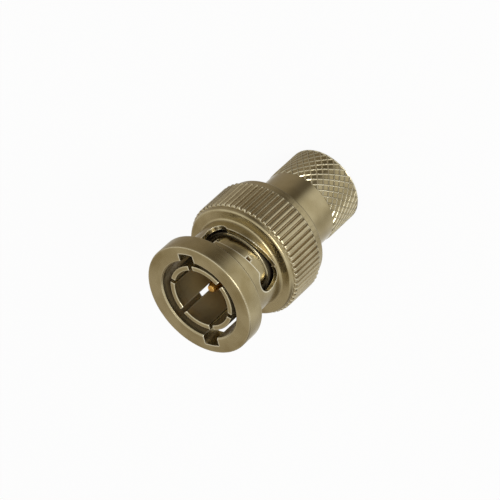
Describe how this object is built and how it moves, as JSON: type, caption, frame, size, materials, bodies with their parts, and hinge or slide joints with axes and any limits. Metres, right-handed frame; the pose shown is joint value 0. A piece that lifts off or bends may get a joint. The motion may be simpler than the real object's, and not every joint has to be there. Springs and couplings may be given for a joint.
{
  "type": "bnc connector",
  "caption": "Coaxial cable plug: knurled quarter-turn bayonet nut on a sprung body with a slotted outer contact, gold centre pin and a diamond-knurled cable barrel.",
  "frame": {"origin": "centre of the rear end face, where the cable goes in; the plug stands on that face", "axes": "+Z along the plug's axis from the cable end to the mating face; +X through one of the two entry channels of the nut at rest"},
  "size_m": [0.0144, 0.0144, 0.0242],
  "materials": {
    "nickel_plated_brass": "satin nickel plate",
    "gold_plated_brass": "gold plate",
    "spring_steel": "rolled strip",
    "silicone_rubber": "matt",
    "white_ptfe": "waxy matt"
  },
  "bodies": {
    "plug_body": {"body": "nickel_plated_brass", "outer_contact": "nickel_plated_brass", "gasket": "silicone_rubber", "insulator": "white_ptfe", "centre_pin": "gold_plated_brass", "wave_spring": "spring_steel"},
    "spring_washer": {"thrust_washer": "spring_steel"},
    "nut": {"coupling_nut": "nickel_plated_brass", "retaining_ring": "spring_steel"}
  },
  "joints": [
    {"name": "nut_draw", "type": "slide", "parent": "plug_body", "child": "spring_washer", "axis": [0, 0, 1], "range_m": [0, 0.0006], "stiffness_N_per_m": 4000, "springref_m": -0.0005, "deforming": ["wave_spring"]},
    {"name": "nut_turn", "type": "hinge", "parent": "spring_washer", "child": "nut", "pos_m": [0, 0, 0.017], "axis": [0, 0, 1], "continuous": true}
  ]
}
